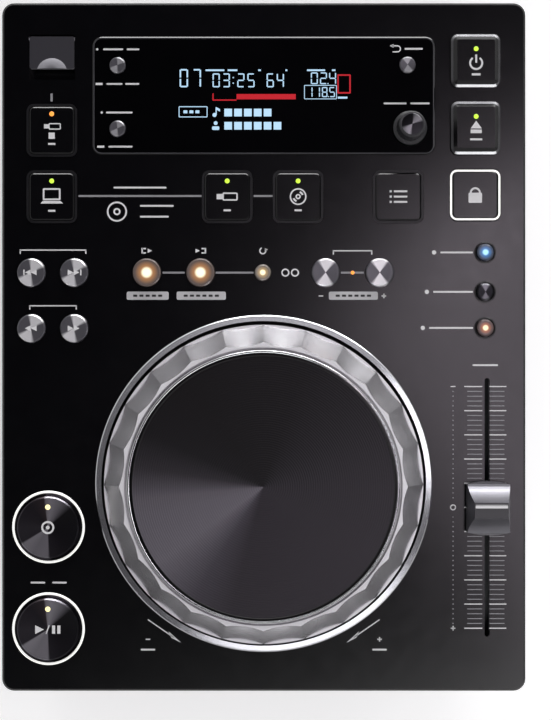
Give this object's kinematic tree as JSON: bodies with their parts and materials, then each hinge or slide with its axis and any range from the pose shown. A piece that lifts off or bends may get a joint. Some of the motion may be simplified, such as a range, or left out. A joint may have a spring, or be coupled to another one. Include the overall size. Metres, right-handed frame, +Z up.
{
  "type": "tabletop dj cd player",
  "caption": "Tabletop DJ CD player: front-loading disc slot, dimpled jog wheel, cue and play buttons, loop and search buttons, keys, display window, tempo slider and covered USB socket.",
  "frame": {"origin": "on the table below the middle of the player, from its front edge to the ends of its rear sockets", "axes": "+X to the right of the user, +Y to the back, +Z up"},
  "size_m": [0.218, 0.2984, 0.1065],
  "materials": {
    "deck_abs": "satin black-grey moulded deck",
    "case_abs": "fine textured black",
    "plated_steel": "zinc plated sheet",
    "painted_steel": "black painted sheet",
    "rubber": "matt black rubber",
    "black_steel": "black screws",
    "gloss_black_abs": "polished black",
    "smoked_acrylic": "smoked window",
    "glass_and_board": "display tube on its board",
    "chromed_abs": "bright chrome",
    "moulded_black": "moulded black",
    "lit_diffuser": "white light ring",
    "frame_grey": "dim grey frame",
    "nickel": "nickel plated shell",
    "board_green": "green circuit board",
    "board_brown": "brown circuit board",
    "zinc_steel": "zinc plated steel",
    "socket_metal": "nickel plated sockets",
    "silver_painted": "silver metallic paint",
    "ground_steel": "ground steel",
    "jog_top_black": "black, fine turned grooves",
    "acetal": "natural acetal",
    "spun_black": "black spun cap",
    "spun_silver": "spun silver cap",
    "slider_grey": "grey cap with a white line",
    "cover_grey": "grey gloss cover",
    "pickup_metal": "cast pickup body",
    "knob_grey": "dark knob",
    "blue_lens": "blue lit cap",
    "amber_lens": "amber lit cap",
    "key_black": "satin black key"
  },
  "bodies": {
    "root": {"top_panel": "deck_abs", "lower_case": "case_abs", "bottom_plate": "plated_steel", "rear_plate": "painted_steel", "feet": "rubber", "case_screws": "black_steel", "slot_bezel": "gloss_black_abs", "display_window": "smoked_acrylic", "display_module": "glass_and_board", "jog_trim_ring": "chromed_abs", "jog_bearing": "moulded_black", "damper_body": "moulded_black", "transport_rings": "lit_diffuser", "key_frames": "frame_grey", "slider_body": "plated_steel", "usb_socket": "nickel", "circuit_boards": "board_green", "power_supply": "board_brown", "drive_frame": "zinc_steel", "drive_motors": "zinc_steel", "rear_sockets": "socket_metal"},
    "jog": {"jog_wheel": "silver_painted", "jog_spindle": "ground_steel"},
    "jog_top": {"jog_top": "jog_top_black"},
    "damper_pinion": {"damper_pinion": "acetal"},
    "cue_button": {"cue_button": "spun_black"},
    "play_button": {"play_button": "spun_black"},
    "track_back_button": {"track_back_button": "spun_silver"},
    "track_next_button": {"track_next_button": "spun_silver"},
    "search_back_button": {"search_back_button": "spun_silver"},
    "search_next_button": {"search_next_button": "spun_silver"},
    "loop_in_button": {"loop_in_button": "amber_lens"},
    "loop_out_button": {"loop_out_button": "amber_lens"},
    "reloop_button": {"reloop_button": "amber_lens"},
    "beat_minus_button": {"beat_minus_button": "spun_silver"},
    "beat_plus_button": {"beat_plus_button": "spun_silver"},
    "jog_mode_button": {"jog_mode_button": "blue_lens"},
    "tempo_range_button": {"tempo_range_button": "spun_black"},
    "key_hold_button": {"key_hold_button": "amber_lens"},
    "time_button": {"time_button": "spun_silver"},
    "text_button": {"text_button": "spun_silver"},
    "back_button": {"back_button": "spun_silver"},
    "link_key": {"link_key": "key_black"},
    "usb_key": {"usb_key": "key_black"},
    "disc_key": {"disc_key": "key_black"},
    "list_key": {"list_key": "key_black"},
    "lock_key": {"lock_key": "key_black"},
    "usb_stop_key": {"usb_stop_key": "key_black"},
    "power_key": {"power_key": "gloss_black_abs"},
    "eject_key": {"eject_key": "gloss_black_abs"},
    "select_plunger": {"select_plunger": "acetal"},
    "select_knob": {"select_knob": "knob_grey"},
    "tempo_slider": {"tempo_slider": "slider_grey"},
    "usb_cover": {"usb_cover": "cover_grey"},
    "loading_roller": {"loading_roller": "rubber"},
    "loading_gear": {"loading_gear": "acetal"},
    "turntable": {"turntable": "moulded_black"},
    "clamp_arm": {"clamp_arm": "zinc_steel"},
    "optical_pickup": {"optical_pickup": "pickup_metal"},
    "lead_screw": {"lead_screw": "ground_steel"}
  },
  "joints": [
    {"name": "jog_turn", "type": "hinge", "parent": "root", "child": "jog", "pos_m": [0, -0.0627, 0.089], "axis": [0, 0, 1], "continuous": true},
    {"name": "jog_press", "type": "slide", "parent": "jog", "child": "jog_top", "axis": [0, 0, -1], "range_m": [0, 0.0004], "stiffness_N_per_m": 2000, "springref_m": -0.0005},
    {"name": "damper_turn", "type": "hinge", "parent": "root", "child": "damper_pinion", "pos_m": [-0.018, -0.09388, 0.0645], "axis": [0, 0, 1], "continuous": true},
    {"name": "cue_press", "type": "slide", "parent": "root", "child": "cue_button", "axis": [0, 0, -1], "range_m": [0, 0.0008], "stiffness_N_per_m": 300, "springref_m": -0.001},
    {"name": "play_press", "type": "slide", "parent": "root", "child": "play_button", "axis": [0, 0, -1], "range_m": [0, 0.0008], "stiffness_N_per_m": 300, "springref_m": -0.001},
    {"name": "track_back_press", "type": "slide", "parent": "root", "child": "track_back_button", "axis": [0, 0, -1], "range_m": [0, 0.0008], "stiffness_N_per_m": 300, "springref_m": -0.001},
    {"name": "track_next_press", "type": "slide", "parent": "root", "child": "track_next_button", "axis": [0, 0, -1], "range_m": [0, 0.0008], "stiffness_N_per_m": 300, "springref_m": -0.001},
    {"name": "search_back_press", "type": "slide", "parent": "root", "child": "search_back_button", "axis": [0, 0, -1], "range_m": [0, 0.0008], "stiffness_N_per_m": 300, "springref_m": -0.001},
    {"name": "search_next_press", "type": "slide", "parent": "root", "child": "search_next_button", "axis": [0, 0, -1], "range_m": [0, 0.0008], "stiffness_N_per_m": 300, "springref_m": -0.001},
    {"name": "loop_in_press", "type": "slide", "parent": "root", "child": "loop_in_button", "axis": [0, 0, -1], "range_m": [0, 0.0008], "stiffness_N_per_m": 300, "springref_m": -0.001},
    {"name": "loop_out_press", "type": "slide", "parent": "root", "child": "loop_out_button", "axis": [0, 0, -1], "range_m": [0, 0.0008], "stiffness_N_per_m": 300, "springref_m": -0.001},
    {"name": "reloop_press", "type": "slide", "parent": "root", "child": "reloop_button", "axis": [0, 0, -1], "range_m": [0, 0.0008], "stiffness_N_per_m": 300, "springref_m": -0.001},
    {"name": "beat_minus_press", "type": "slide", "parent": "root", "child": "beat_minus_button", "axis": [0, 0, -1], "range_m": [0, 0.0008], "stiffness_N_per_m": 300, "springref_m": -0.001},
    {"name": "beat_plus_press", "type": "slide", "parent": "root", "child": "beat_plus_button", "axis": [0, 0, -1], "range_m": [0, 0.0008], "stiffness_N_per_m": 300, "springref_m": -0.001},
    {"name": "jog_mode_press", "type": "slide", "parent": "root", "child": "jog_mode_button", "axis": [0, 0, -1], "range_m": [0, 0.0008], "stiffness_N_per_m": 300, "springref_m": -0.001},
    {"name": "tempo_range_press", "type": "slide", "parent": "root", "child": "tempo_range_button", "axis": [0, 0, -1], "range_m": [0, 0.0008], "stiffness_N_per_m": 300, "springref_m": -0.001},
    {"name": "key_hold_press", "type": "slide", "parent": "root", "child": "key_hold_button", "axis": [0, 0, -1], "range_m": [0, 0.0008], "stiffness_N_per_m": 300, "springref_m": -0.001},
    {"name": "time_press", "type": "slide", "parent": "root", "child": "time_button", "axis": [0, 0, -1], "range_m": [0, 0.0008], "stiffness_N_per_m": 300, "springref_m": -0.001},
    {"name": "text_press", "type": "slide", "parent": "root", "child": "text_button", "axis": [0, 0, -1], "range_m": [0, 0.0008], "stiffness_N_per_m": 300, "springref_m": -0.001},
    {"name": "back_press", "type": "slide", "parent": "root", "child": "back_button", "axis": [0, 0, -1], "range_m": [0, 0.0008], "stiffness_N_per_m": 300, "springref_m": -0.001},
    {"name": "link_press", "type": "slide", "parent": "root", "child": "link_key", "axis": [0, 0, -1], "range_m": [0, 0.0008], "stiffness_N_per_m": 300, "springref_m": -0.001},
    {"name": "usb_press", "type": "slide", "parent": "root", "child": "usb_key", "axis": [0, 0, -1], "range_m": [0, 0.0008], "stiffness_N_per_m": 300, "springref_m": -0.001},
    {"name": "disc_press", "type": "slide", "parent": "root", "child": "disc_key", "axis": [0, 0, -1], "range_m": [0, 0.0008], "stiffness_N_per_m": 300, "springref_m": -0.001},
    {"name": "list_press", "type": "slide", "parent": "root", "child": "list_key", "axis": [0, 0, -1], "range_m": [0, 0.0008], "stiffness_N_per_m": 300, "springref_m": -0.001},
    {"name": "lock_press", "type": "slide", "parent": "root", "child": "lock_key", "axis": [0, 0, -1], "range_m": [0, 0.0008], "stiffness_N_per_m": 300, "springref_m": -0.001},
    {"name": "usb_stop_press", "type": "slide", "parent": "root", "child": "usb_stop_key", "axis": [0, 0, -1], "range_m": [0, 0.0008], "stiffness_N_per_m": 300, "springref_m": -0.001},
    {"name": "power_press", "type": "slide", "parent": "root", "child": "power_key", "axis": [0, 0, -1], "range_m": [0, 0.0008], "stiffness_N_per_m": 300, "springref_m": -0.001},
    {"name": "eject_press", "type": "slide", "parent": "root", "child": "eject_key", "axis": [0, 0, -1], "range_m": [0, 0.0008], "stiffness_N_per_m": 300, "springref_m": -0.001},
    {"name": "select_press", "type": "slide", "parent": "root", "child": "select_plunger", "axis": [0, 0, -1], "range_m": [0, 0.0005], "stiffness_N_per_m": 300, "springref_m": -0.001},
    {"name": "select_turn", "type": "hinge", "parent": "select_plunger", "child": "select_knob", "pos_m": [0.06075, 0.085, 0.089], "axis": [0, 0, 1], "continuous": true},
    {"name": "tempo_slide", "type": "slide", "parent": "root", "child": "tempo_slider", "axis": [0, 1, 0], "range_m": [-0.05, 0.05]},
    {"name": "cover_lift", "type": "hinge", "parent": "root", "child": "usb_cover", "pos_m": [-0.08818, 0.1223, 0.0881], "axis": [-1, 0, 0], "range_deg": [0, 95]},
    {"name": "roller_turn", "type": "hinge", "parent": "root", "child": "loading_roller", "pos_m": [0, -0.1292, 0.033], "axis": [1, 0, 0], "continuous": true},
    {"name": "loading_gear_turn", "type": "hinge", "parent": "root", "child": "loading_gear", "pos_m": [0.063, -0.1157, 0.033], "axis": [1, 0, 0], "continuous": true},
    {"name": "turntable_spin", "type": "hinge", "parent": "root", "child": "turntable", "pos_m": [0, -0.0742, 0.038], "axis": [0, 0, 1], "continuous": true},
    {"name": "clamp_lift", "type": "hinge", "parent": "root", "child": "clamp_arm", "pos_m": [0, 0.0058, 0.045], "axis": [-1, 0, 0], "range_deg": [0, 5]},
    {"name": "pickup_slide", "type": "slide", "parent": "root", "child": "optical_pickup", "axis": [0, 1, 0], "range_m": [0, 0.036]},
    {"name": "lead_screw_turn", "type": "hinge", "parent": "root", "child": "lead_screw", "pos_m": [0.028, -0.0742, 0.03], "axis": [0, 1, 0], "range_deg": [0, 4321]}
  ],
  "couplings": [
    {"joint": "damper_turn", "follows": "jog_turn", "ratio": -5},
    {"joint": "loading_gear_turn", "follows": "roller_turn", "ratio": -0.8},
    {"joint": "lead_screw_turn", "follows": "pickup_slide", "rad_per_m": 2094.4}
  ]
}
